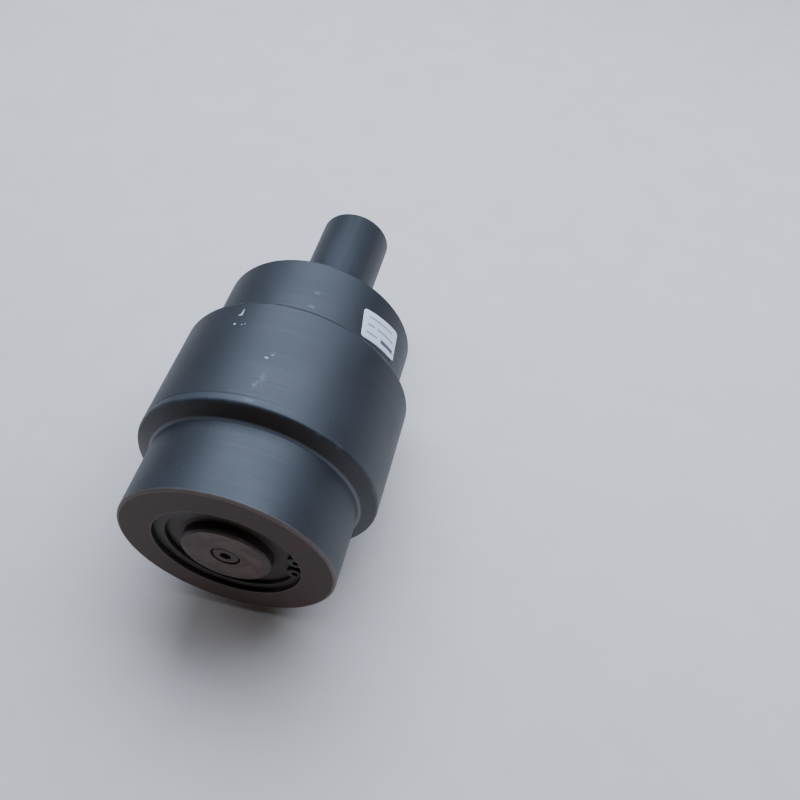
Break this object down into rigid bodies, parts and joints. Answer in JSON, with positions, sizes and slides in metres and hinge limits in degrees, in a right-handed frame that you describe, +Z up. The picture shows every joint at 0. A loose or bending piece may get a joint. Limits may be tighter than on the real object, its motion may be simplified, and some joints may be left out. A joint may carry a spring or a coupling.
{
  "type": "track carrier roller",
  "caption": "Cantilever carrier roller for an excavator track: a flanged shell that turns in bronze bushings on a fixed shaft, with a face seal and a plain stub.",
  "frame": {"origin": "on the axle, in the plane where the bare stub leaves the seal collar, which is where the support bracket begins", "axes": "+Y along the axle towards the free end of the stub, the covered end faces -Y, +Z up"},
  "size_m": [0.14, 0.259, 0.14],
  "materials": {
    "shell_paint": "satin black paint on forged steel, with chips on the flange",
    "collar_paint": "satin black paint on cast steel",
    "shaft_paint": "satin black paint on turned steel",
    "cover_paint": "thin black paint on turned steel",
    "spring_steel": "phosphated spring steel under black paint",
    "plug_steel": "blackened steel screw plug",
    "gasket_copper": "soft copper washer",
    "plain_steel": "turned steel, oiled",
    "bolt_steel": "blackened high-tensile steel",
    "seal_iron": "chilled cast iron with a lapped face",
    "bushing_bronze": "bored bearing bronze",
    "nitrile_rubber": "black nitrile rubber",
    "label_paper": "blank white sticker"
  },
  "bodies": {
    "fixed_shaft": {"shaft": "shaft_paint", "seal_collar": "collar_paint", "collar_pin": "plain_steel", "collar_o_ring": "nitrile_rubber", "fixed_seal_ring": "seal_iron", "fixed_toric_ring": "nitrile_rubber", "thrust_plate": "plain_steel", "thrust_bolts": "bolt_steel", "lock_washers": "bolt_steel"},
    "turning_roller": {"shell": "shell_paint", "front_bushing": "bushing_bronze", "rear_bushing": "bushing_bronze", "turning_seal_ring": "seal_iron", "turning_toric_ring": "nitrile_rubber", "end_cover": "cover_paint", "cover_o_ring": "nitrile_rubber", "retaining_ring": "spring_steel", "oil_plug": "plug_steel", "plug_gasket": "gasket_copper", "label": "label_paper"}
  },
  "joints": [
    {"name": "roller_spin", "type": "hinge", "parent": "fixed_shaft", "child": "turning_roller", "pos_m": [0, -0.096, 0], "axis": [0, 1, 0], "continuous": true}
  ]
}
